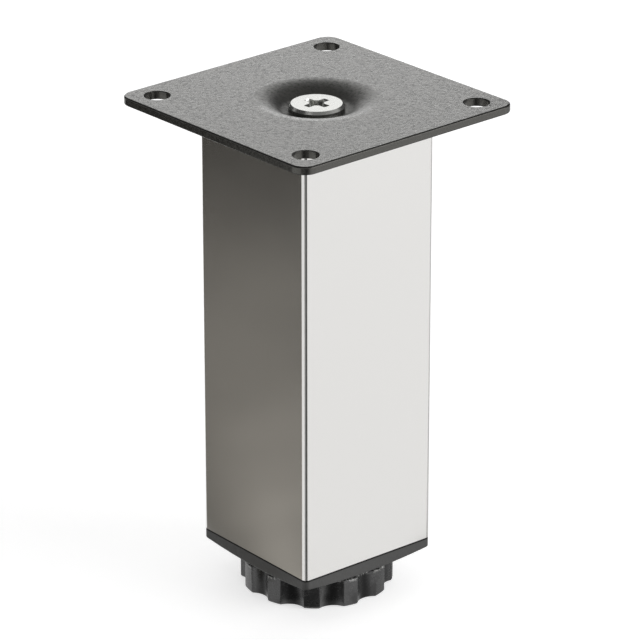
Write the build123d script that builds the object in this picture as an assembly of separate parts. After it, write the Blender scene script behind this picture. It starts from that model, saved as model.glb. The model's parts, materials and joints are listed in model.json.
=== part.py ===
"""Square furniture leg with a screwed-on mounting plate and a screw-adjustable foot.

Millimetres, +Z up along the leg's axis, origin at the centre of the foot's underside with the
foot screwed fully in. The plate's sides run along X and Y.
"""

import os
from math import atan, cos, radians, sin, sqrt, tan

from build123d import *

# Mounting plate, pressed from steel sheet and powder coated
plate_side = 80.0
plate_thickness = 2.5
plate_corner_radius = 4.5
plate_edge_round = 0.5
hole_inset = 8.0
hole_diameter = 7.5
hole_edge_round = 0.25

# Dish pressed into the plate's middle, which takes the screw's head below the mounting face
dish_reach = 9.7
dish_lip_share = 0.75
dish_hole_diameter = 8.6
head_sink = 1.2
head_clearance = 0.5

# Low pan head screw that clamps plate and tube, with a cross recess
screw_diameter = 8.0
screw_pitch = 1.25
screw_length = 16.0
head_diameter = 16.2
head_top_diameter = 14.7
head_height = 2.0
head_slope_height = 0.8
recess_span = 8.4
recess_wing = 2.2
recess_wing_taper = 6.0
recess_core = 4.4
recess_cone_angle = 27.0
recess_depth = 2.8
recess_turn = 4.0

# Hexagon nuts, across flats and height
top_nut_width = 13.0
top_nut_height = 6.5
foot_nut_width = 17.0
foot_nut_height = 8.0
nut_chamfer_angle = 30.0
nut_face_ratio = 0.97
foot_nut_inset = 0.5

# Square tube, which stands slightly turned under the plate on its single screw
tube_side = 47.4
tube_length = 133.0
tube_wall = 1.0
tube_corner_radius = 1.5
tube_least_radius = 0.1
tube_turn = -1.9

# Plastic mouldings that plug the tube's ends
sleeve_wall = 2.0
sleeve_corner_radius = 2.0
sleeve_lead_in = 0.8
rib_thickness = 1.6
top_plug_depth = 25.0
top_plug_web = 3.0
top_boss_overhang = 1.0
bottom_sleeve_depth = 20.0
boss_wall = 3.0
nut_roof = 3.0
crush_rib_radius = 0.8
crush_rib_spacing = 22.0

# Visible flange of the bottom cap, with a crowned underside
cap_corner_depth = 3.1
cap_crown_radius = 236.0
cap_edge_round = 0.4
cap_joint_chamfer = 0.25

# Adjusting stud
stud_diameter = 10.0
stud_pitch = 1.5
stud_end_chamfer = 1.0
stud_collar_diameter = 13.0
stud_collar_height = 4.0
stud_reserve = 2.0
adjust_travel = 20.0

# Fluted foot
foot_diameter = 45.0
foot_height = 8.7
foot_lobes = 12
flute_depth = 1.75
flute_radius = 5.0
lobe_corner_round = 0.6
foot_bottom_round = 0.8
foot_rim_round = 0.35
foot_floor = 2.2
foot_wall = 2.4
foot_hub_diameter = 19.0
foot_ribs = 6
foot_rib_drop = 1.0
foot_recess_diameter = 33.0
foot_recess_depth = 0.6
collar_bed = 0.3

# Clearances
press_clearance = 0.05
fit_clearance = 0.15
nut_clearance = 0.1
thread_clearance = 0.05
stud_hole_clearance = 0.5
running_clearance = 0.05
foot_gap = 0.3
cut_overrun = 1.0


def pitch_diameter(nominal, pitch):
    """Effective diameter of a metric thread, which the plain shanks and bores stand in for."""
    return nominal - 0.6495 * pitch


hole_spacing = plate_side - 2 * hole_inset
screw_shank = pitch_diameter(screw_diameter, screw_pitch)
stud_shank = pitch_diameter(stud_diameter, stud_pitch)
tube_inner = tube_side - 2 * tube_wall
plug_side = tube_inner - 2 * fit_clearance
plug_hollow_side = plug_side - 2 * sleeve_wall

# Levels along the leg
tube_half_diagonal = tube_side / 2 * sqrt(2) - tube_corner_radius * (sqrt(2) - 1)
crown_drop = cap_crown_radius - sqrt(cap_crown_radius**2 - tube_half_diagonal**2)
crown_z = foot_height + foot_gap
tube_bottom_z = crown_z + crown_drop + cap_corner_depth
tube_top_z = tube_bottom_z + tube_length
plate_top_z = tube_top_z + plate_thickness
dish_depth = head_sink + head_height
head_seat_z = plate_top_z - dish_depth
dish_under_z = head_seat_z - plate_thickness
top_nut_z = dish_under_z - top_plug_web - top_nut_height
foot_nut_z = crown_z + foot_nut_inset
foot_nut_top_z = foot_nut_z + foot_nut_height
stud_top_z = foot_nut_top_z + adjust_travel + stud_reserve
collar_z = foot_floor + collar_bed
collar_top_z = collar_z + stud_collar_height


def tube_frame(shape):
    """Turns a shape about the leg's axis, as the tube and its plugs stand under the plate."""
    return Rot(0, 0, tube_turn) * shape


def square_block(side, radius, z_low, z_high):
    """Square prism with rounded upright edges between two levels."""
    return Pos(0, 0, z_low) * extrude(RectangleRounded(side, side, radius), z_high - z_low)


def disc(diameter, z_low, z_high):
    """Upright cylinder between two levels."""
    return Pos(0, 0, z_low) * extrude(Circle(diameter / 2), z_high - z_low)


def hexagon(width, z_low, z_high):
    """Hexagon prism of a width across flats between two levels."""
    return Pos(0, 0, z_low) * extrude(RegularPolygon(width / 2, 6, major_radius=False), z_high - z_low)


def dish_profile():
    """Half section of the pressed dish, one sheet thick, and the radius of its mouth.

    From the flat sheet inwards, a wide lip arc runs into a tighter arc the other way, which turns
    back to the floor under the screw's head. Both turn by the same angle.
    """
    floor_radius = head_diameter / 2 + head_clearance
    mouth_radius = floor_radius + dish_reach
    side_turn = 2 * atan(dish_depth / dish_reach)
    both_radii = dish_reach / sin(side_turn)
    lip_radius = dish_lip_share * both_radii
    blend_radius = both_radii - lip_radius
    lip_centre = Vector(mouth_radius, plate_top_z - lip_radius)
    blend_centre = Vector(floor_radius, head_seat_z + blend_radius)

    def bend(centre, radius, turn_from, turn_to):
        """Arc about a centre, between two slopes of the sheet."""
        turns = (turn_from, (turn_from + turn_to) / 2, turn_to)
        ThreePointArc(*[centre + radius * Vector(-sin(turn), cos(turn)) for turn in turns])

    hole = dish_hole_diameter / 2
    with BuildSketch(Plane.XZ) as section:
        with BuildLine():
            bend(lip_centre, lip_radius, 0, side_turn)
            bend(blend_centre, -blend_radius, side_turn, 0)
            Line((floor_radius, head_seat_z), (hole, head_seat_z))
            Line((hole, head_seat_z), (hole, dish_under_z))
            Line((hole, dish_under_z), (floor_radius, dish_under_z))
            bend(blend_centre, -blend_radius - plate_thickness, 0, side_turn)
            bend(lip_centre, lip_radius - plate_thickness, side_turn, 0)
            Line((mouth_radius, tube_top_z), (mouth_radius, plate_top_z))
        make_face()
    return section.sketch, mouth_radius


def make_mounting_plate():
    """Square sheet with rounded corners, four screw holes and the central dish."""
    plate = square_block(plate_side, plate_corner_radius, tube_top_z, plate_top_z)
    plate = fillet(plate.faces().sort_by(Axis.Z)[-1].edges(), plate_edge_round)
    plate = fillet(plate.faces().sort_by(Axis.Z)[0].edges(), plate_edge_round)
    for place in GridLocations(hole_spacing, hole_spacing, 2, 2):
        plate -= place * disc(hole_diameter, tube_top_z, plate_top_z)
    rims = plate.edges().filter_by(GeomType.CIRCLE)
    rims = rims.filter_by(lambda edge: abs(edge.radius - hole_diameter / 2) < 1e-6)
    plate = fillet(rims, hole_edge_round)
    section, mouth_radius = dish_profile()
    plate -= disc(2 * mouth_radius, tube_top_z, plate_top_z)
    return plate + revolve(section, Axis.Z)


def make_plate_screw():
    """Pan head screw with a bevelled head and a cross recess whose wings rise outwards."""
    top_z = head_seat_z + head_height
    tip_z = head_seat_z - screw_length
    tip_chamfer = screw_pitch
    with BuildSketch(Plane.XZ) as section:
        with BuildLine():
            Polyline(
                (0, top_z),
                (head_top_diameter / 2, top_z),
                (head_diameter / 2, top_z - head_slope_height),
                (head_diameter / 2, head_seat_z),
                (screw_shank / 2, head_seat_z),
                (screw_shank / 2, tip_z + tip_chamfer),
                (screw_shank / 2 - tip_chamfer, tip_z),
                (0, tip_z),
                close=True,
            )
        make_face()
    screw = revolve(section.sketch, Axis.Z)
    recess = extrude(Circle(recess_core / 2), -recess_depth, taper=recess_wing_taper)
    for turn in (0, 90):
        outline = Rectangle(recess_span, recess_wing)
        recess += Rot(0, 0, turn) * extrude(outline, -recess_depth, taper=recess_wing_taper)
    recess &= extrude(Circle(recess_span / 2), -recess_depth, taper=recess_cone_angle)
    return screw - Pos(0, 0, top_z) * Rot(0, 0, recess_turn) * recess


def make_nut(width, height, bore, z_low):
    """Hexagon nut with chamfered corners on both faces and a plain bore."""
    corner = width / sqrt(3)
    edge = width / 2 * nut_face_ratio
    chamfer_drop = (corner - edge) * tan(radians(nut_chamfer_angle))
    z_high = z_low + height
    with BuildSketch(Plane.XZ) as section:
        with BuildLine():
            Polyline(
                (bore / 2, z_low),
                (edge, z_low),
                (corner, z_low + chamfer_drop),
                (corner, z_high - chamfer_drop),
                (edge, z_high),
                (bore / 2, z_high),
                close=True,
            )
        make_face()
    return revolve(section.sketch, Axis.Z) & hexagon(width, z_low, z_high)


def make_leg_tube():
    """Square stainless tube."""
    inner_radius = max(tube_corner_radius - tube_wall, tube_least_radius)
    tube = square_block(tube_side, tube_corner_radius, tube_bottom_z, tube_top_z)
    tube -= square_block(tube_inner, inner_radius, tube_bottom_z, tube_top_z)
    return tube_frame(tube)


def make_sleeve(z_low, z_high, lead_in_up):
    """Thin square sleeve that plugs a tube end, with crush ribs and a bevelled leading edge."""
    sleeve = square_block(plug_side, sleeve_corner_radius, z_low, z_high)
    end = sleeve.faces().sort_by(Axis.Z)[-1 if lead_in_up else 0]
    sleeve = chamfer(end.edges(), sleeve_lead_in)
    crest = tube_inner / 2 - press_clearance
    rib_low = z_low if lead_in_up else z_low + sleeve_lead_in
    rib_high = z_high - sleeve_lead_in if lead_in_up else z_high
    for quarter in range(4):
        for across in (-crush_rib_spacing / 2, crush_rib_spacing / 2):
            rib = disc(2 * crush_rib_radius, rib_low, rib_high)
            sleeve += Rot(0, 0, 90 * quarter) * Pos(crest - crush_rib_radius, across, 0) * rib
    return sleeve


def make_ribs(length, z_low, z_high):
    """Two crossed upright ribs that stiffen a plug between its boss and its sleeve."""
    height = z_high - z_low
    rib = Pos(0, 0, z_low) * extrude(Rectangle(length, rib_thickness), height)
    return rib + Rot(0, 0, 90) * rib


def make_top_plug():
    """Plug in the tube's upper end, with a web under the dish and a nut pocket below it."""
    low_z = tube_top_z - top_plug_depth
    web_z = dish_under_z - top_plug_web
    boss_diameter = top_nut_width * 2 / sqrt(3) + 2 * boss_wall
    boss_low_z = top_nut_z - top_boss_overhang
    plug = make_sleeve(low_z, tube_top_z - fit_clearance, False)
    plug -= square_block(plug_hollow_side, sleeve_wall / 2, dish_under_z, tube_top_z)
    plug -= square_block(plug_hollow_side, sleeve_wall / 2, low_z, web_z)
    plug += disc(boss_diameter, boss_low_z, web_z)
    plug += make_ribs(plug_hollow_side + sleeve_wall, boss_low_z, web_z)
    plug -= hexagon(top_nut_width + 2 * nut_clearance, boss_low_z, web_z)
    plug -= disc(screw_diameter + 2 * fit_clearance, web_z, dish_under_z)
    return tube_frame(plug)


def make_bottom_cap():
    """Cap on the tube's lower end: crowned flange, ribbed sleeve and a nut pocket from below."""
    sleeve_top_z = tube_bottom_z + bottom_sleeve_depth
    boss_diameter = foot_nut_width * 2 / sqrt(3) + 2 * boss_wall
    roof_z = foot_nut_top_z + nut_roof
    crown = Pos(0, 0, crown_z + cap_crown_radius) * Sphere(cap_crown_radius)
    blank_low_z = crown_z - cut_overrun
    flange = square_block(tube_side, tube_corner_radius, blank_low_z, tube_bottom_z) & crown
    under = flange.faces().filter_by(GeomType.SPHERE)[0]
    flange = fillet(under.outer_wire().edges(), cap_edge_round)
    flange = chamfer(flange.faces().sort_by(Axis.Z)[-1].edges(), cap_joint_chamfer)
    cap = make_sleeve(tube_bottom_z, sleeve_top_z, True)
    cap -= square_block(plug_hollow_side, sleeve_wall / 2, tube_bottom_z, sleeve_top_z)
    cap += disc(boss_diameter, tube_bottom_z, roof_z)
    cap += make_ribs(plug_hollow_side + sleeve_wall, tube_bottom_z, roof_z)
    cap += flange
    cap -= hexagon(foot_nut_width + 2 * nut_clearance, blank_low_z, foot_nut_top_z)
    cap -= disc(stud_diameter + 2 * stud_hole_clearance, foot_nut_z, roof_z)
    return tube_frame(cap)


def make_adjuster_stud():
    """Steel stud with a round collar that the foot is moulded round."""
    stud = disc(stud_shank, collar_z, stud_top_z)
    stud = chamfer(stud.faces().sort_by(Axis.Z)[-1].edges(), stud_end_chamfer)
    return stud + disc(stud_collar_diameter, collar_z, collar_top_z)


def fluted_outline():
    """Round outline with scallops between its lobes and softened lobe corners."""
    outline = Circle(foot_diameter / 2)
    flute_centres = PolarLocations(foot_diameter / 2 - flute_depth + flute_radius, foot_lobes)
    outline -= [place * Circle(flute_radius) for place in flute_centres]
    return fillet(outline.vertices(), lobe_corner_round)


def make_foot():
    """Fluted foot: fluted wall, floor, ribs and a hub moulded round the stud's collar."""
    foot = extrude(fluted_outline(), foot_height)
    foot = fillet(foot.faces().sort_by(Axis.Z)[0].edges(), foot_bottom_round)
    foot = fillet(foot.faces().sort_by(Axis.Z)[-1].edges(), foot_rim_round)
    hollow_radius = foot_diameter / 2 - flute_depth - foot_wall
    hollow = disc(2 * hollow_radius, foot_floor, foot_height)
    hollow -= disc(foot_hub_diameter, foot_floor, foot_height)
    rib_length = 2 * (hollow_radius + foot_wall / 2)
    rib_height = foot_height - foot_rib_drop - foot_floor
    for turn in range(foot_ribs // 2):
        rib = extrude(Rectangle(rib_length, rib_thickness), rib_height)
        hollow -= Pos(0, 0, foot_floor) * Rot(0, 0, 360 / foot_ribs * turn) * rib
    foot -= hollow
    foot -= disc(foot_recess_diameter, 0, foot_recess_depth)
    grip = stud_collar_diameter + 2 * running_clearance
    foot -= disc(grip, collar_z - running_clearance, collar_top_z + running_clearance)
    foot -= disc(stud_shank + 2 * running_clearance, collar_z, foot_height)
    return foot


parts = {
    "mounting_plate": make_mounting_plate(),
    "plate_screw": make_plate_screw(),
    "top_nut": tube_frame(
        make_nut(top_nut_width, top_nut_height, screw_shank + 2 * thread_clearance, top_nut_z)
    ),
    "top_plug": make_top_plug(),
    "leg_tube": make_leg_tube(),
    "bottom_cap": make_bottom_cap(),
    "foot_nut": tube_frame(
        make_nut(foot_nut_width, foot_nut_height, stud_shank + 2 * thread_clearance, foot_nut_z)
    ),
    "adjuster_stud": make_adjuster_stud(),
    "foot": make_foot(),
}

os.makedirs("parts", exist_ok=True)
for name, shape in parts.items():
    export_step(shape, f"parts/{name}.step")
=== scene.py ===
"""Looks of a square stainless furniture leg with a powder coated plate and a fluted screw foot.

Metres, +Z up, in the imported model's own frame. The model's parts keep their shapes and get their
finishes here. The screw's and the stud's threads are drawn here, as the model's are plain.
Angles are in degrees, and a viewer at azimuth 0 looks along +Y.
"""

import json
import math

import bmesh
import bpy
import numpy as np
from mathutils import Matrix, Vector


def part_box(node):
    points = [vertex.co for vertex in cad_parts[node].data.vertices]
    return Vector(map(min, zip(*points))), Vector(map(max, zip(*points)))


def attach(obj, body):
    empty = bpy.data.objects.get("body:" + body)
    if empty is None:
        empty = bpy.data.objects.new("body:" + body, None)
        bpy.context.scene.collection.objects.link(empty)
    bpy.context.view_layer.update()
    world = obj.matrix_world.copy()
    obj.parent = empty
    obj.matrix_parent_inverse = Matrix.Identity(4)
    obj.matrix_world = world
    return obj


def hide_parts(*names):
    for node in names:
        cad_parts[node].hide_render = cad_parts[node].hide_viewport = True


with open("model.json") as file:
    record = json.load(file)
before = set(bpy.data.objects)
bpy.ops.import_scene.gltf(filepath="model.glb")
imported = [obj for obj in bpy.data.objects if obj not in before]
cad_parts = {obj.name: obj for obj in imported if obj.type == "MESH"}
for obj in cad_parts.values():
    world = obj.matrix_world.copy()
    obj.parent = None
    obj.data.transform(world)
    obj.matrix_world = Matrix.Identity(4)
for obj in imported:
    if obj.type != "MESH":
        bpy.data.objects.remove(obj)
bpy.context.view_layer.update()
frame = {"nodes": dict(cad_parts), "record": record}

MM = 0.001

# Camera, fitted to the photograph's edges
CAMERA_AZIMUTH = 48.6831
CAMERA_ELEVATION = 22.7957
CAMERA_DISTANCE = 1.20165
CAMERA_LENS = 233.99
CAMERA_SENSOR = 36.0
CAMERA_SIDE_STEP = 0.0009566
CAMERA_TARGET_HEIGHT = 0.0821311
CAMERA_CLIP = (0.05, 50.0)

# Threads, as major diameter and pitch, and the metric profile as shares of the pitch
SCREW_THREAD = (8.0 * MM, 1.25 * MM)
STUD_THREAD = (10.0 * MM, 1.5 * MM)
THREAD_DEPTH_SHARE = 0.6134
THREAD_CREST_SHARE = 0.125
THREAD_ROOT_SHARE = 0.25
THREAD_COLUMNS = 48
THREAD_ROWS_A_PITCH = 12
THREAD_SHARP_ANGLE = 35
SAME_PLACE = 1e-7

# Screw and stud, where the model's sizes aren't read from its boxes
SCREW_HEAD_HEIGHT = 2.0 * MM
STUD_COLLAR_HEIGHT = 4.0 * MM
STUD_COLLAR_EDGE = 0.3 * MM
STUD_END_CHAMFER = 1.0 * MM

# Backdrop and floor: strengths are shares of white, and the backdrop greys evenly from one sine of
# elevation up to the zenith
CEILING_SHADE = 0.22
CEILING_FROM = 0.42
WORLD_LIGHT = 0.42
FLOOR_LIFT = 0.62
FLOOR_RADIUS = 6.0
FLOOR_CORNERS = 96

# Flags on the floor, most of which start at the tube's near corner
NEAR_CORNER = (21.5 * MM, -22.9 * MM)
FLAG_HEIGHT = 0.5 * MM
FLAG_REACH = 1.5
FLAG_NEAR = 0.05
FLAG_FAR = 0.4
FLAG_SIDE_TURN = 20
FLAG_FADE_TURN = 6
FLAG_ROWS, FLAG_COLUMNS = 33, 61
FLAG_CLOUDS_A_METRE = 14.0
FLAG_CLOUD_SWING = 0.22
CARD_MIDDLE_HEIGHT = 0.15


def unit_vector(azimuth, elevation):
    """Direction from the object to a viewer at an azimuth and elevation."""
    a, e = math.radians(azimuth), math.radians(elevation)
    return Vector((math.sin(a) * math.cos(e), -math.cos(a) * math.cos(e), math.sin(e)))


def rightward(azimuth):
    """Level direction to the right of a viewer at an azimuth."""
    a = math.radians(azimuth)
    return Vector((math.cos(a), math.sin(a), 0))


def hex_colour(code):
    """Linear colour with full alpha of an sRGB hex code."""
    values = np.array([int(code[i : i + 2], 16) for i in (0, 2, 4)]) / 255
    linear = np.where(values <= 0.04045, values / 12.92, ((values + 0.055) / 1.055) ** 2.4)
    return (*linear.tolist(), 1.0)


def add_node(tree, kind, inputs=(), **settings):
    """Adds a node with its settings, and sets or links each input that is given.

    A Mix node's sockets are given by number, because those for numbers and colours share names.
    """
    node = tree.nodes.new(kind)
    for name, value in settings.items():
        setattr(node, name, value)
    for name, value in dict(inputs).items():
        if isinstance(value, bpy.types.NodeSocket):
            tree.links.new(value, node.inputs[name])
        else:
            node.inputs[name].default_value = value
    return node


def new_material(name):
    """Node material without nodes, its tree and its object coordinates."""
    material = bpy.data.materials.new(name)
    material.use_nodes = True
    tree = material.node_tree
    tree.nodes.clear()
    return material, tree, add_node(tree, "ShaderNodeTexCoord").outputs["Object"]


def radius_and_height(tree, place):
    """Distance from the leg's axis, and height."""
    axes = add_node(tree, "ShaderNodeSeparateXYZ", {0: place}).outputs
    level = add_node(tree, "ShaderNodeCombineXYZ", {0: axes["X"], 1: axes["Y"]}).outputs[0]
    radius = add_node(tree, "ShaderNodeVectorMath", {0: level}, operation="LENGTH")
    return radius.outputs["Value"], axes["Z"]


def powder_coat():
    """Fine-texture black polyester powder coat on steel, whose satin grain greys at a low view."""
    material, tree, place = new_material("fine_texture_powder_coat")
    # Melted powder grains lie about 0.6 mm apart, and are drawn at 0.9 mm, so that they show.
    grain_size, grain_depth = 0.9 * MM, 0.09 * MM
    grain = add_node(
        tree,
        "ShaderNodeTexNoise",
        {"Vector": place, "Scale": 1 / grain_size, "Detail": 3.0, "Roughness": 0.75},
    ).outputs["Fac"]
    # The coat flows out smooth over the plate's edges and in its holes, where it isn't level.
    normal = add_node(tree, "ShaderNodeTexCoord").outputs["Normal"]
    upward = add_node(tree, "ShaderNodeSeparateXYZ", {0: normal}).outputs["Z"]
    level = add_node(tree, "ShaderNodeMath", {0: upward}, operation="ABSOLUTE").outputs[0]
    coarse = add_node(
        tree,
        "ShaderNodeMapRange",
        {"Value": level, "From Min": 0.72, "From Max": 0.97, "To Min": 0.05, "To Max": 1},
    ).outputs[0]
    relief = add_node(
        tree, "ShaderNodeBump", {"Height": grain, "Distance": grain_depth, "Strength": coarse}
    )
    # Pits between the grains are rougher and return less gloss than their crowns.
    pit_roughness, crown_roughness = 0.34, 0.16
    pit_gloss, crown_gloss, smooth_gloss = 0.2, 0.57, 0.6
    roughness = add_node(
        tree,
        "ShaderNodeMapRange",
        {
            "Value": grain,
            "From Min": 0.3,
            "From Max": 0.7,
            "To Min": pit_roughness,
            "To Max": crown_roughness,
        },
    )
    gloss = add_node(
        tree,
        "ShaderNodeMapRange",
        {
            "Value": grain,
            "From Min": 0.34,
            "From Max": 0.54,
            "To Min": pit_gloss,
            "To Max": crown_gloss,
        },
    )
    gloss = add_node(tree, "ShaderNodeMix", {0: coarse, 2: smooth_gloss, 3: gloss.outputs[0]})
    # Pressing the dish has stretched and dulled the coat in it.
    dull_within, bright_beyond, dulling = 13 * MM, 19 * MM, 0.2
    radius, _ = radius_and_height(tree, place)
    dull = add_node(
        tree,
        "ShaderNodeMapRange",
        {
            "Value": radius,
            "From Min": dull_within,
            "From Max": bright_beyond,
            "To Min": dulling,
            "To Max": 0,
        },
    )
    roughness = add_node(tree, "ShaderNodeMath", {0: roughness.outputs[0], 1: dull.outputs[0]})
    # Painted reflection: the gloss is cut on the plate's rounded outer edges, which draws a dull
    # black line round the plate for the dark surroundings those edges mirror.
    line_beyond, line_gloss = 30 * MM, 0.08
    below_top = add_node(
        tree,
        "ShaderNodeMapRange",
        {"Value": level, "From Min": 0.85, "From Max": 0.97, "To Min": 1, "To Max": 0},
    ).outputs[0]
    above_side = add_node(
        tree, "ShaderNodeMapRange", {"Value": level, "From Min": 0.2, "From Max": 0.45}
    ).outputs[0]
    outer = add_node(tree, "ShaderNodeMath", {0: radius, 1: line_beyond}, operation="GREATER_THAN")
    line = add_node(tree, "ShaderNodeMath", {0: below_top, 1: above_side}, operation="MULTIPLY")
    line = add_node(
        tree, "ShaderNodeMath", {0: line.outputs[0], 1: outer.outputs[0]}, operation="MULTIPLY"
    )
    gloss = add_node(
        tree, "ShaderNodeMix", {0: line.outputs[0], 2: gloss.outputs[0], 3: line_gloss}
    )
    coat = add_node(
        tree,
        "ShaderNodeBsdfPrincipled",
        {
            "Base Color": hex_colour("252524"),
            "IOR": 1.65,
            "Specular Tint": hex_colour("fffdf4"),
            "Specular IOR Level": gloss.outputs[0],
            "Roughness": roughness.outputs[0],
            "Normal": relief.outputs[0],
        },
    )
    add_node(tree, "ShaderNodeOutputMaterial", {"Surface": coat.outputs[0]})
    return material


def brushed_stainless():
    """Stainless steel tube ground lengthwise with fine grit, then polished to a satin mirror."""
    material, tree, place = new_material("satin_ground_stainless")
    # Grit lines are 0.05 mm apart on the tube. They are drawn at 0.35 mm, so that they show.
    line_width, line_length, line_depth = 0.35 * MM, 60 * MM, 0.002 * MM
    line_scale = (1 / line_width, 1 / line_width, 1 / line_length)
    lines = add_node(tree, "ShaderNodeMapping", {"Vector": place, "Scale": line_scale})
    grit = add_node(
        tree,
        "ShaderNodeTexNoise",
        {"Vector": lines.outputs[0], "Scale": 1.0, "Detail": 2.0, "Roughness": 0.6},
    ).outputs["Fac"]
    roughness = add_node(
        tree, "ShaderNodeMapRange", {"Value": grit, "To Min": 0.1, "To Max": 0.2}
    )
    # A drawn wall waves by under a tenth of a millimetre, which bends what it mirrors.
    wave_length, wave_depth = 25 * MM, 0.16 * MM
    wave = add_node(
        tree, "ShaderNodeTexNoise", {"Vector": place, "Scale": 1 / wave_length, "Detail": 1.0}
    ).outputs["Fac"]
    waves = add_node(
        tree, "ShaderNodeBump", {"Height": wave, "Distance": wave_depth, "Strength": 1.0}
    ).outputs[0]
    relief = add_node(
        tree,
        "ShaderNodeBump",
        {"Height": grit, "Distance": line_depth, "Strength": 0.5, "Normal": waves},
    )
    steel = add_node(
        tree,
        "ShaderNodeBsdfPrincipled",
        {
            "Base Color": hex_colour("d8d7d5"),
            "Metallic": 1.0,
            "Roughness": roughness.outputs[0],
            "Normal": relief.outputs[0],
        },
    )
    add_node(tree, "ShaderNodeOutputMaterial", {"Surface": steel.outputs[0]})
    return material


def zinc_plate():
    """Bright zinc plating on steel fasteners: pale silver, slightly uneven gloss."""
    material, tree, place = new_material("bright_zinc_plating")
    # Plating varies in gloss over about 1.5 mm.
    cloud_size = 1.5 * MM
    cloud = add_node(
        tree, "ShaderNodeTexNoise", {"Vector": place, "Scale": 1 / cloud_size, "Detail": 3.0}
    ).outputs["Fac"]
    roughness = add_node(
        tree, "ShaderNodeMapRange", {"Value": cloud, "To Min": 0.18, "To Max": 0.34}
    )
    zinc = add_node(
        tree,
        "ShaderNodeBsdfPrincipled",
        {
            "Base Color": hex_colour("b9b9b6"),
            "Metallic": 1.0,
            "Roughness": roughness.outputs[0],
        },
    )
    add_node(tree, "ShaderNodeOutputMaterial", {"Surface": zinc.outputs[0]})
    return material


def cap_plastic():
    """Black moulded caps in a matt spark-eroded texture, with painted shade in a band just below
    the tube's end.
    """
    material, tree, place = new_material("matt_moulded_cap")
    tube_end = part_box("leg_tube")[0].z
    # Painted shade: a band about half a millimetre tall just below the tube's end is darker and
    # duller, for the shadow in the gap between tube and cap.
    gap_shade_low, gap_shade_high = tube_end - 0.65 * MM, tube_end - 0.35 * MM
    hidden_above = tube_end + 0.05 * MM
    _, height = radius_and_height(tree, place)
    near_tube = add_node(
        tree, "ShaderNodeMapRange", {"Value": height, "From Min": gap_shade_low, "From Max": gap_shade_high}
    ).outputs[0]
    outside = add_node(
        tree, "ShaderNodeMath", {0: height, 1: hidden_above}, operation="LESS_THAN"
    ).outputs[0]
    gap_shade = add_node(
        tree, "ShaderNodeMath", {0: near_tube, 1: outside}, operation="MULTIPLY"
    ).outputs[0]
    colour = add_node(
        tree,
        "ShaderNodeMix",
        {0: gap_shade, 6: hex_colour("444443"), 7: hex_colour("121212")},
        data_type="RGBA",
    )
    gloss = add_node(tree, "ShaderNodeMapRange", {"Value": gap_shade, "To Min": 0.5, "To Max": 0.1})
    # Spark-eroded mould grain is 0.3 mm wide, and is drawn at 0.8 mm, so that it shows.
    grain_size, grain_depth = 0.8 * MM, 0.16 * MM
    grain = add_node(
        tree,
        "ShaderNodeTexNoise",
        {"Vector": place, "Scale": 1 / grain_size, "Detail": 3.0, "Roughness": 0.7},
    ).outputs["Fac"]
    relief = add_node(
        tree, "ShaderNodeBump", {"Height": grain, "Distance": grain_depth, "Strength": 0.8}
    )
    plastic = add_node(
        tree,
        "ShaderNodeBsdfPrincipled",
        {
            "Base Color": colour.outputs[2],
            "IOR": 1.5,
            "Specular IOR Level": gloss.outputs[0],
            "Roughness": 0.4,
            "Normal": relief.outputs[0],
        },
    )
    add_node(tree, "ShaderNodeOutputMaterial", {"Surface": plastic.outputs[0]})
    return material


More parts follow.
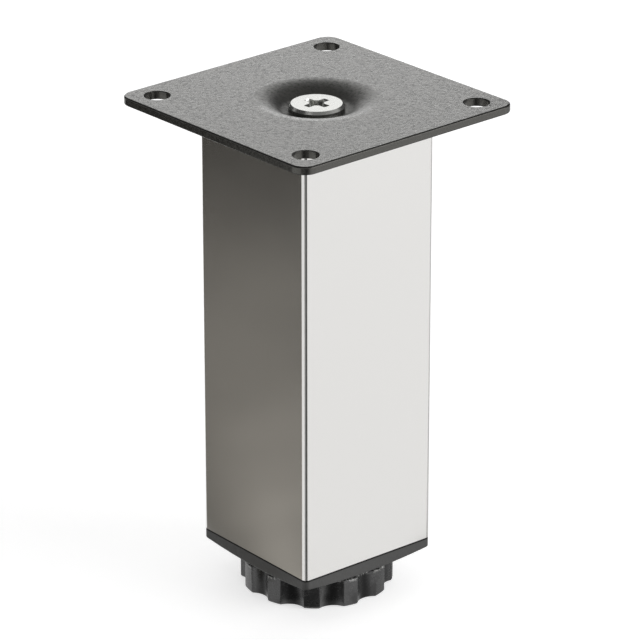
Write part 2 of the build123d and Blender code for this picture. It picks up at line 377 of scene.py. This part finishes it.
def foot_plastic_with_shaded_flutes():
    """Black moulded foot with painted shade in its flutes, which are darker and duller than its
    scuffed grip lobes, and pale specks on its upper rim.
    """
    material, tree, place = new_material("black_nylon_shaded_flutes")
    # Painted shade: the flutes are darker and less glossy than the lobes, for the shade that falls
    # in them.
    flute_radius, lobe_radius = 20.75 * MM, 21.7 * MM
    radius, height = radius_and_height(tree, place)
    from_flute_to_lobe = {"Value": radius, "From Min": flute_radius, "From Max": lobe_radius}
    on_lobe = add_node(
        tree, "ShaderNodeMapRange", from_flute_to_lobe, interpolation_type="SMOOTHSTEP"
    ).outputs[0]
    gloss = add_node(
        tree, "ShaderNodeMapRange", {**from_flute_to_lobe, "To Min": 0.25, "To Max": 0.85}
    )
    # Scuffs on the lobes are about 2 mm long.
    scuff_length, scuff_depth = 2 * MM, 0.15 * MM
    scuffs = add_node(
        tree,
        "ShaderNodeTexNoise",
        {"Vector": place, "Scale": 1 / scuff_length, "Detail": 4.0, "Roughness": 0.7},
    ).outputs["Fac"]
    # Painted shade: the colour runs from dark in the flutes to pale on the lobes, and the scuffs
    # break up the pale.
    lobe_light_and_scuffs = add_node(tree, "ShaderNodeMath", {0: on_lobe, 1: scuffs}, operation="MULTIPLY")
    colour = add_node(
        tree,
        "ShaderNodeMix",
        {0: lobe_light_and_scuffs.outputs[0], 6: hex_colour("181818"), 7: hex_colour("464646")},
        data_type="RGBA",
    )
    # Pale specks are about 0.8 mm long and lie on the upper rim alone.
    speck_length, rim_low, rim_high = 0.8 * MM, 7.7 * MM, 8.2 * MM
    rim_specks = add_node(
        tree, "ShaderNodeTexNoise", {"Vector": place, "Scale": 1 / speck_length, "Detail": 2.0}
    ).outputs["Fac"]
    rim_specks = add_node(
        tree, "ShaderNodeMapRange", {"Value": rim_specks, "From Min": 0.52, "From Max": 0.6}
    ).outputs[0]
    rim = add_node(
        tree, "ShaderNodeMapRange", {"Value": height, "From Min": rim_low, "From Max": rim_high}
    ).outputs[0]
    rim_specks = add_node(tree, "ShaderNodeMath", {0: rim_specks, 1: rim}, operation="MULTIPLY")
    colour = add_node(
        tree,
        "ShaderNodeMix",
        {0: rim_specks.outputs[0], 6: colour.outputs[2], 7: hex_colour("a8a8a6")},
        data_type="RGBA",
    )
    roughness = add_node(
        tree, "ShaderNodeMapRange", {"Value": scuffs, "To Min": 0.16, "To Max": 0.36}
    )
    relief = add_node(
        tree, "ShaderNodeBump", {"Height": scuffs, "Distance": scuff_depth, "Strength": 0.8}
    )
    plastic = add_node(
        tree,
        "ShaderNodeBsdfPrincipled",
        {
            "Base Color": colour.outputs[2],
            "IOR": 1.5,
            "Specular IOR Level": gloss.outputs[0],
            "Roughness": roughness.outputs[0],
            "Normal": relief.outputs[0],
        },
    )
    add_node(tree, "ShaderNodeOutputMaterial", {"Surface": plastic.outputs[0]})
    return material


def finish_nodes():
    """Gives each of the model's parts the material of its slot in the record."""
    finishes = {
        "plate_coating": powder_coat(),
        "zinc_steel": zinc_plate(),
        "brushed_stainless": brushed_stainless(),
        "black_plastic": cap_plastic(),
        "foot_plastic": foot_plastic_with_shaded_flutes(),
    }
    for row in frame["record"]["subparts"]:
        part = frame["nodes"][row["node"]]
        part.data.materials.clear()
        part.data.materials.append(finishes[row["material_slot"]])
    return finishes


def place_in_scene(name, data):
    """Object at the origin with a mesh, lamp or camera."""
    piece = bpy.data.objects.new(name, data)
    bpy.context.scene.collection.objects.link(piece)
    return piece


def thread_radius(phase, major, pitch):
    """Radius of a metric thread at a phase of 0 to 1 along one pitch: crest, flank, root, flank."""
    depth = THREAD_DEPTH_SHARE * pitch
    off_crest = np.abs(phase - np.round(phase)) - THREAD_CREST_SHARE / 2
    flank = 0.5 - THREAD_CREST_SHARE / 2 - THREAD_ROOT_SHARE / 2
    return major / 2 - depth * np.clip(off_crest / flank, 0, 1)


def helix_grid(low, high, thread, end_chamfer):
    """Points and faces of a thread: rows rise by one pitch a turn, and meet themselves.

    A row's height is its start plus the pitch times the turn, kept between low and high. Its
    radius is the thread's, less a cone at each end.
    """
    major, pitch = thread
    around, rows_a_pitch = THREAD_COLUMNS, THREAD_ROWS_A_PITCH
    rows = (math.ceil((high - low) / pitch) + 2) * rows_a_pitch
    turn = np.arange(around)[None, :] / around
    start = low - pitch + np.arange(rows)[:, None] * pitch / rows_a_pitch
    height = np.clip(start + pitch * turn, low, high)
    from_end = np.minimum(height - low, high - height)
    radius = thread_radius(height / pitch - turn, major, pitch)
    radius = np.minimum(radius, major / 2 - end_chamfer + from_end)
    angle = 2 * math.pi * turn
    points = np.stack([radius * np.cos(angle), radius * np.sin(angle), height], -1).reshape(-1, 3)
    row, column = np.meshgrid(np.arange(rows - rows_a_pitch - 1), np.arange(around), indexing="ij")
    next_row = row + np.where(column == around - 1, rows_a_pitch, 0)
    next_column = (column + 1) % around
    corners = [
        row * around + column,
        next_row * around + next_column,
        (next_row + 1) * around + next_column,
        (row + 1) * around + column,
    ]
    faces = np.stack(corners, -1).reshape(-1, 4)
    has_height = np.ptp(points[faces][:, :, 2], axis=1) >= 1e-9
    return points, faces[has_height]


def close_end(work, radius, height, rings):
    """Carries an open round rim over rings of (radius, height), and fills the last one."""
    rim = [edge for edge in work.edges if edge.is_boundary]
    rim = [e for e in rim if all(abs(v.co.z - height) < SAME_PLACE for v in e.verts)]
    for ring_radius, ring_height in rings:
        made = bmesh.ops.extrude_edge_only(work, edges=rim)["geom"]
        rim = [piece for piece in made if isinstance(piece, bmesh.types.BMEdge)]
        corners = [piece for piece in made if isinstance(piece, bmesh.types.BMVert)]
        widening = ring_radius / radius
        bmesh.ops.scale(work, verts=corners, vec=(widening, widening, 1))
        bmesh.ops.translate(work, verts=corners, vec=(0, 0, ring_height - height))
        radius, height = ring_radius, ring_height
    bmesh.ops.edgeloop_fill(work, edges=rim)


def threaded_rod(name, low, high, thread, rings_below, end_chamfer):
    """Closed rod with a thread from low to high, and rings of (radius, height) below it.

    The chamfer is deeper than the thread, so that the rod's ends are round.
    """
    points, faces = helix_grid(low, high, thread, end_chamfer)
    end_radius = thread[0] / 2 - end_chamfer
    mesh = bpy.data.meshes.new(name)
    mesh.from_pydata(points.tolist(), [], faces.tolist())
    work = bmesh.new()
    work.from_mesh(mesh)
    bmesh.ops.remove_doubles(work, verts=work.verts, dist=SAME_PLACE)
    close_end(work, end_radius, low, rings_below)
    close_end(work, end_radius, high, [])
    loose = [vertex for vertex in work.verts if not vertex.link_faces]
    bmesh.ops.delete(work, geom=loose, context="VERTS")
    bmesh.ops.recalc_face_normals(work, faces=work.faces)
    work.to_mesh(mesh)
    work.free()
    corners = np.empty(len(mesh.polygons), dtype=np.int32)
    mesh.polygons.foreach_get("loop_total", corners)
    mesh.polygons.foreach_set("use_smooth", corners <= 4)
    mesh.set_sharp_from_angle(angle=math.radians(THREAD_SHARP_ANGLE))
    return place_in_scene(name, mesh)


def add_stud(finishes):
    """Adjusting stud: M10 thread above a round collar that sits in the foot's hub."""
    low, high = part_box("adjuster_stud")
    edge, collar_radius = STUD_COLLAR_EDGE, high.x
    collar_top = low.z + STUD_COLLAR_HEIGHT
    collar = [
        (collar_radius - edge, collar_top),
        (collar_radius, collar_top - edge),
        (collar_radius, low.z + edge),
        (collar_radius - edge, low.z),
    ]
    stud = threaded_rod("threaded_stud", collar_top, high.z, STUD_THREAD, collar, STUD_END_CHAMFER)
    stud.data.materials.append(finishes["zinc_steel"])
    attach(stud, "stud")
    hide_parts("adjuster_stud")


def add_screw_thread(finishes):
    """Screw's M8 thread, which stands out from its plain shank below the head."""
    low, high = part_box("plate_screw")
    seat = high.z - SCREW_HEAD_HEIGHT
    chamfer = SCREW_THREAD[1]
    thread = threaded_rod("screw_thread", low.z, seat, SCREW_THREAD, [], chamfer)
    thread.data.materials.append(finishes["zinc_steel"])
    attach(thread, "leg")


def seen_rays(tree):
    """1 for the rays that show a background, which are camera, glossy and transmission rays."""
    rays = add_node(tree, "ShaderNodeLightPath").outputs
    seen = add_node(
        tree,
        "ShaderNodeMath",
        {0: rays["Is Camera Ray"], 1: rays["Is Glossy Ray"]},
        operation="MAXIMUM",
    ).outputs[0]
    seen = add_node(
        tree, "ShaderNodeMath", {0: seen, 1: rays["Is Transmission Ray"]}, operation="MAXIMUM"
    )
    return seen.outputs[0]


def show_in_gloss_only(card):
    """Hides a card from every ray but the reflected ones."""
    for rays in ("camera", "diffuse", "transmission", "volume_scatter", "shadow"):
        setattr(card, f"visible_{rays}", False)


def stay_under_foot(piece):
    """Keeps the floor, or a card on it, under the foot as the foot is screwed out."""
    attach(piece, "stud")


def flag_material(name, tint):
    """Card that glows by its shade, with soft clouds, and is clear where it has no cover."""
    material, tree, place = new_material(name)
    shade = add_node(tree, "ShaderNodeAttribute", attribute_name="shade").outputs["Fac"]
    cover = add_node(tree, "ShaderNodeAttribute", attribute_name="cover").outputs["Fac"]
    cloud = add_node(
        tree, "ShaderNodeTexNoise", {"Vector": place, "Scale": FLAG_CLOUDS_A_METRE, "Detail": 2.0}
    ).outputs["Fac"]
    uneven = add_node(
        tree,
        "ShaderNodeMapRange",
        {
            "Value": cloud,
            "From Min": 0.3,
            "From Max": 0.7,
            "To Min": 1 - FLAG_CLOUD_SWING,
            "To Max": 1 + FLAG_CLOUD_SWING,
        },
    ).outputs[0]
    glow = add_node(tree, "ShaderNodeMath", {0: shade, 1: uneven}, operation="MULTIPLY").outputs[0]
    lit = add_node(tree, "ShaderNodeEmission", {"Color": hex_colour(tint), "Strength": glow})
    clear = add_node(tree, "ShaderNodeBsdfTransparent")
    card = add_node(tree, "ShaderNodeMixShader", {0: cover, 1: clear.outputs[0], 2: lit.outputs[0]})
    add_node(tree, "ShaderNodeOutputMaterial", {"Surface": card.outputs[0]})
    return material


def add_flag(name, apex, azimuths, reach, tint, near_shade, far_shade, middle, side_shade):
    """Card on the floor, which only shows as a reflection in the leg.

    It is a flat sector about its apex: radius by azimuth. Its shade runs from near to far with
    the radius, and goes to a share of that beside its middle azimuth. Its ends fade out.
    """
    radii = np.geomspace(*reach, FLAG_ROWS)[:, None]
    turns = np.linspace(*azimuths, FLAG_COLUMNS)[None, :]
    x = apex[0] + radii * np.sin(np.radians(turns))
    y = apex[1] - radii * np.cos(np.radians(turns))
    points = np.stack([x, y, np.full_like(x, FLAG_HEIGHT)], -1).reshape(-1, 3)
    rows, columns = np.arange(FLAG_ROWS - 1), np.arange(FLAG_COLUMNS - 1)
    row, column = np.meshgrid(rows, columns, indexing="ij")
    first = row * FLAG_COLUMNS + column
    corners = [first, first + 1, first + FLAG_COLUMNS + 1, first + FLAG_COLUMNS]
    faces = np.stack(corners, -1).reshape(-1, 4)
    outward = np.clip((radii - FLAG_NEAR) / (FLAG_FAR - FLAG_NEAR), 0, 1)
    beside = np.clip(np.abs(turns - middle) / FLAG_SIDE_TURN, 0, 1)
    beside = beside**2 * (3 - 2 * beside)
    shade = (near_shade + (far_shade - near_shade) * outward) * (1 + (side_shade - 1) * beside)
    off_end = np.minimum(np.abs(turns - azimuths[0]), np.abs(turns - azimuths[1]))
    cover = np.clip(off_end / FLAG_FADE_TURN, 0, 1) + 0 * radii
    mesh = bpy.data.meshes.new(name)
    mesh.from_pydata(points.tolist(), [], faces.tolist())
    for label, values in (("shade", shade), ("cover", cover)):
        layer = mesh.attributes.new(label, "FLOAT", "POINT")
        layer.data.foreach_set("value", values.ravel().astype(np.float32))
    mesh.materials.append(flag_material(name, tint))
    flag = place_in_scene(name, mesh)
    show_in_gloss_only(flag)
    stay_under_foot(flag)


def add_floor():
    """Plain white floor, which keeps the leg's shadow."""
    bpy.ops.mesh.primitive_circle_add(
        vertices=FLOOR_CORNERS, radius=FLOOR_RADIUS, fill_type="NGON"
    )
    floor = bpy.context.object
    floor.name = "studio_floor"
    material, tree, _ = new_material("white_studio_floor")
    lift = add_node(
        tree, "ShaderNodeMath", {0: seen_rays(tree), 1: FLOOR_LIFT}, operation="MULTIPLY"
    )
    glow = add_node(tree, "ShaderNodeEmission", {"Strength": lift.outputs[0]})
    paper = add_node(tree, "ShaderNodeBsdfDiffuse", {"Color": hex_colour("e6e6e6")})
    both = add_node(tree, "ShaderNodeAddShader", {0: paper.outputs[0], 1: glow.outputs[0]})
    add_node(tree, "ShaderNodeOutputMaterial", {"Surface": both.outputs[0]})
    floor.data.materials.append(material)
    stay_under_foot(floor)


def add_card(name, azimuth, elevation, distance, width, height, shade, side_step=0.0):
    """Dark upright card, which only shows in the gloss and faces the leg."""
    toward, right = unit_vector(azimuth, elevation), rightward(azimuth)
    up = toward.cross(right)
    middle = toward * distance + right * side_step + Vector((0, 0, CARD_MIDDLE_HEIGHT))
    across = np.array([-0.5, 0.5, 0.5, -0.5])[:, None] * width
    along = np.array([-0.5, -0.5, 0.5, 0.5])[:, None] * height
    points = np.array(middle) + across * np.array(right) + along * np.array(up)
    mesh = bpy.data.meshes.new(name)
    mesh.from_pydata(points.tolist(), [], [(0, 1, 2, 3)])
    material, tree, _ = new_material(name)
    glow = add_node(tree, "ShaderNodeEmission", {"Strength": shade})
    add_node(tree, "ShaderNodeOutputMaterial", {"Surface": glow.outputs[0]})
    mesh.materials.append(material)
    card = place_in_scene(name, mesh)
    show_in_gloss_only(card)


def add_world():
    """World that shows a white backdrop under a greyer ceiling, and lights softly all round."""
    world = bpy.data.worlds.new("studio")
    bpy.context.scene.world = world
    world.use_nodes = True
    tree = world.node_tree
    tree.nodes.clear()
    direction = add_node(tree, "ShaderNodeTexCoord").outputs["Generated"]
    height = add_node(tree, "ShaderNodeSeparateXYZ", {0: direction}).outputs["Z"]
    shown = add_node(
        tree,
        "ShaderNodeMapRange",
        {"Value": height, "From Min": CEILING_FROM, "To Min": 1.0, "To Max": CEILING_SHADE},
    ).outputs[0]
    strength = add_node(
        tree,
        "ShaderNodeMapRange",
        {"Value": seen_rays(tree), "To Min": WORLD_LIGHT, "To Max": shown},
    ).outputs[0]
    backdrop = add_node(tree, "ShaderNodeBackground", {"Strength": strength})
    add_node(tree, "ShaderNodeOutputWorld", {"Surface": backdrop.outputs[0]})


def add_softbox(name, azimuth, elevation, distance, width, height, power):
    """Rectangular softbox that faces the leg from an azimuth and elevation."""
    lamp = bpy.data.lights.new(name, "AREA")
    lamp.shape = "RECTANGLE"
    lamp.size = width
    lamp.size_y = height
    lamp.energy = power
    box = place_in_scene(name, lamp)
    toward = unit_vector(azimuth, elevation)
    box.location = toward * distance + Vector((0, 0, CAMERA_TARGET_HEIGHT))
    box.rotation_euler = toward.to_track_quat("Z", "Y").to_euler()
    box.visible_camera = False


def add_camera():
    """Camera at the photograph's viewing angle."""
    lens = bpy.data.cameras.new("photo_camera")
    lens.lens = CAMERA_LENS
    lens.sensor_width = CAMERA_SENSOR
    lens.clip_start, lens.clip_end = CAMERA_CLIP
    camera = place_in_scene("photo_camera", lens)
    back, right = unit_vector(CAMERA_AZIMUTH, CAMERA_ELEVATION), rightward(CAMERA_AZIMUTH)
    target = Vector((0, 0, CAMERA_TARGET_HEIGHT)) + right * CAMERA_SIDE_STEP
    camera.rotation_euler = Matrix((right, back.cross(right), back)).transposed().to_euler()
    camera.location = target + back * CAMERA_DISTANCE
    bpy.context.scene.camera = camera


finishes = finish_nodes()
add_stud(finishes)
add_screw_thread(finishes)
add_floor()
add_world()
add_camera()

# Flags: the tube mirrors the left one in its left wall, the front one in its near corner and the
# right one in its far right edge, and the foot mirrors its own
add_flag(
    "left_flag",
    apex=NEAR_CORNER,
    azimuths=(-39, -82),
    reach=(26 * MM, FLAG_REACH),
    tint="fff9ee",
    near_shade=0.36,
    far_shade=0.075,
    middle=-57,
    side_shade=0.5,
)
add_flag(
    "front_flag",
    apex=NEAR_CORNER,
    azimuths=(20, 87),
    reach=(22 * MM, FLAG_REACH),
    tint="ffffff",
    near_shade=0.01,
    far_shade=0.01,
    middle=62,
    side_shade=30.0,
)
add_flag(
    "foot_flag",
    apex=(0, 0),
    azimuths=(15, 71),
    reach=(23 * MM, 46 * MM),
    tint="ffffff",
    near_shade=0.02,
    far_shade=0.02,
    middle=43,
    side_shade=8.0,
)
add_flag(
    "right_flag",
    apex=NEAR_CORNER,
    azimuths=(156, 226),
    reach=(18 * MM, FLAG_REACH),
    tint="ffffff",
    near_shade=0.6,
    far_shade=0.6,
    middle=190,
    side_shade=1.0,
)

# Cards and softboxes, at azimuths counted from the camera's
left, behind, behind_left = CAMERA_AZIMUTH - 75, CAMERA_AZIMUTH + 180, CAMERA_AZIMUTH - 138
add_card("left_card", left, 38, distance=0.7, width=0.8, height=0.8, shade=0.06)
add_card(
    "back_card", behind, 26, distance=0.3, width=0.56, height=0.3, shade=0.1, side_step=-0.36
)
add_card("back_left_card", behind_left, 22, distance=0.8, width=0.45, height=0.5, shade=0.05)
right, front_left = CAMERA_AZIMUTH + 70, CAMERA_AZIMUTH - 57
add_softbox("right_softbox", right, 18, distance=2.4, width=1.8, height=1.3, power=28)
add_softbox("back_softbox", behind, 22, distance=1.6, width=2.2, height=1.3, power=6.6)
add_softbox("back_strip", behind, 6, distance=1.3, width=1.6, height=0.3, power=2.4)
add_softbox("front_glint", front_left, 66, distance=1.2, width=0.12, height=0.12, power=0.3)

bpy.context.scene.view_settings.view_transform = "Standard"
